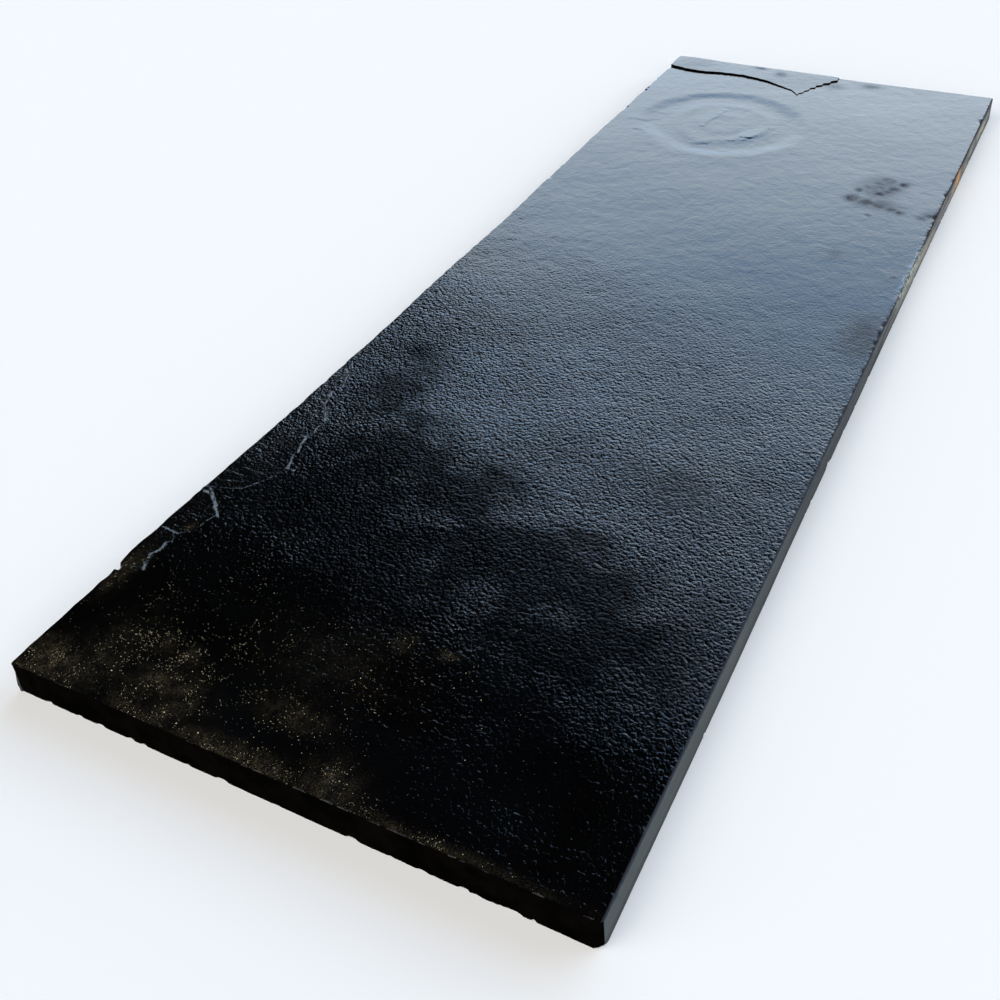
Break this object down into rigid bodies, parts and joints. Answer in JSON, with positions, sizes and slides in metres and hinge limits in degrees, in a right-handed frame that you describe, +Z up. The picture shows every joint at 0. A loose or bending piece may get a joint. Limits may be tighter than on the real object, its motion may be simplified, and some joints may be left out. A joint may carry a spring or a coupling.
{
  "type": "bluestone step tread",
  "caption": "Long flat slab of cleft-faced bluestone with sawn front and ends and a hand-trimmed back edge, laid as the tread of an outdoor step.",
  "frame": {"origin": "middle of the flat underside", "axes": "+X along the tread from its near end to its far end, +Y across it from the sawn front edge to the hand-trimmed back edge, +Z up, out of the cleft face"},
  "size_m": [1.8288, 0.6148, 0.0433],
  "materials": {
    "bluestone": "natural cleft face with a damp, sealed sheen, sawn edges"
  },
  "bodies": {
    "root": {"tread": "bluestone"}
  },
  "joints": []
}
